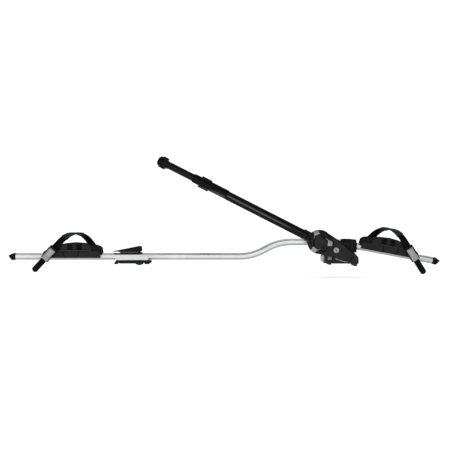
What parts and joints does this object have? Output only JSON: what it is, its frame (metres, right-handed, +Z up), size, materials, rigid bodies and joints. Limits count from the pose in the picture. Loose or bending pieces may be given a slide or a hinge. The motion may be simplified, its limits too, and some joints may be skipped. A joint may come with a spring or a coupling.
{
  "type": "upright roof bicycle carrier",
  "caption": "Roof bicycle carrier: a long tray tube with strapped wheel holders, a telescopic frame-clamping arm driven by a knob, a lockable base and a quick-release rear foot.",
  "frame": {"origin": "midway between the two front bar bolts, on the plane where the rubber pads rest on the roof bars", "axes": "+X along the tray towards its front end, +Z up, the arm and knob stand on the -Y side"},
  "size_m": [1.487, 0.1512, 0.4052],
  "materials": {
    "tray_aluminium": "satin anodised",
    "cast_alloy": "cast, satin",
    "arm_black": "satin black",
    "black_plastic": "fine texture",
    "deep_black_plastic": "smooth",
    "silver_plastic": "silver, satin",
    "rubber": "matt",
    "strap_black": "moulded",
    "bearing_plastic": "natural",
    "steel": "zinc plated"
  },
  "bodies": {
    "tray": {"tray_tube": "tray_aluminium", "end_caps": "deep_black_plastic", "base_casting": "cast_alloy", "base_shell": "black_plastic", "side_cover": "black_plastic", "cover_screws": "steel", "tube_clamp": "black_plastic", "clamp_bolts": "steel", "bar_pad_front": "rubber", "pivot_bush_inner": "bearing_plastic", "pivot_bush_outer": "bearing_plastic"},
    "lock": {"lock_cylinder": "steel"},
    "arm": {"arm_root": "arm_black", "arm_root_screws": "steel", "arm_tube": "arm_black", "arm_collar": "deep_black_plastic", "guide_bush": "bearing_plastic", "spindle_bearing": "steel", "lower_jaw": "deep_black_plastic", "lower_jaw_pad": "rubber"},
    "inner_arm": {"inner_tube": "arm_black", "spindle_nut": "steel", "glide_ring": "bearing_plastic", "jaw_head": "deep_black_plastic", "upper_jaw_pad": "rubber", "tip_cap": "deep_black_plastic"},
    "spindle": {"spindle": "steel", "spindle_gear": "steel"},
    "knob": {"knob_shaft": "steel", "knob_gear": "steel", "knob_dial": "deep_black_plastic", "knob_grips": "silver_plastic", "knob_cap": "black_plastic"},
    "rear_foot": {"foot_saddle": "deep_black_plastic", "foot_liner": "cast_alloy", "bar_pad_rear": "rubber", "cam_plate": "deep_black_plastic", "cam_pin": "steel", "draw_rod": "steel", "t_plate": "steel", "rod_nut": "steel"},
    "cam_lever": {"cam_lever": "black_plastic"},
    "rear_wheel_holder": {"rear_holder": "deep_black_plastic", "rear_holder_liner": "rubber", "rear_clamp_plate": "steel", "rear_clamp_bolt": "steel", "rear_strap": "strap_black", "rear_strap_sleeve": "rubber", "rear_buckle_frame": "deep_black_plastic", "rear_strap_pins": "steel"},
    "rear_buckle": {"rear_buckle_lever": "silver_plastic"},
    "front_wheel_holder": {"front_holder": "deep_black_plastic", "front_holder_liner": "rubber", "front_clamp_plate": "steel", "front_clamp_bolt": "steel", "front_strap": "strap_black", "front_strap_sleeve": "rubber", "front_buckle_frame": "deep_black_plastic", "front_strap_pins": "steel"},
    "front_buckle": {"front_buckle_lever": "silver_plastic"}
  },
  "joints": [
    {"name": "arm_pivot", "type": "hinge", "parent": "tray", "child": "arm", "pos_m": [-0.081, -0.042, 0.0755], "axis": [0, 1, 0], "range_deg": [-24.5, 60]},
    {"name": "knob_turn", "type": "hinge", "parent": "arm", "child": "knob", "pos_m": [-0.081, -0.042, 0.0755], "axis": [0, -1, 0], "range_deg": [0, 1795]},
    {"name": "spindle_turn", "type": "hinge", "parent": "arm", "child": "spindle", "pos_m": [-0.081, -0.042, 0.0755], "axis": [-0.891, 0, 0.454], "range_deg": [-1800, 0]},
    {"name": "jaw_slide", "type": "slide", "parent": "arm", "child": "inner_arm", "axis": [-0.891, 0, 0.454], "range_m": [-0.1, 0]},
    {"name": "lock_turn", "type": "hinge", "parent": "tray", "child": "lock", "pos_m": [-0.0242, -0.072, 0.047], "axis": [0, -1, 0], "range_deg": [0, 90]},
    {"name": "rear_foot_slide", "type": "slide", "parent": "tray", "child": "rear_foot", "axis": [1, 0, 0], "range_m": [-0.01, 0.25]},
    {"name": "cam_lever_swing", "type": "hinge", "parent": "rear_foot", "child": "cam_lever", "pos_m": [-0.699, 0, 0.05], "axis": [0, 1, 0], "range_deg": [0, 110]},
    {"name": "rear_holder_slide", "type": "slide", "parent": "tray", "child": "rear_wheel_holder", "axis": [1, 0, 0], "range_m": [-0.07, 0.02]},
    {"name": "front_holder_slide", "type": "slide", "parent": "tray", "child": "front_wheel_holder", "axis": [0.9829, 0, -0.184], "range_m": [-0.008, 0.045]},
    {"name": "rear_buckle_swing", "type": "hinge", "parent": "rear_wheel_holder", "child": "rear_buckle", "pos_m": [-0.99354, -0.0482, 0.04755], "axis": [-0.7385, 0, 0.6743], "range_deg": [0, 70]},
    {"name": "front_buckle_swing", "type": "hinge", "parent": "front_wheel_holder", "child": "front_buckle", "pos_m": [0.22852, -0.0482, 0.05014], "axis": [-0.8499, 0, -0.527], "range_deg": [0, 70]}
  ],
  "couplings": [
    {"joint": "jaw_slide", "follows": "knob_turn", "m_per_rad": -0.0031831},
    {"joint": "spindle_turn", "follows": "knob_turn", "ratio": -1}
  ]
}
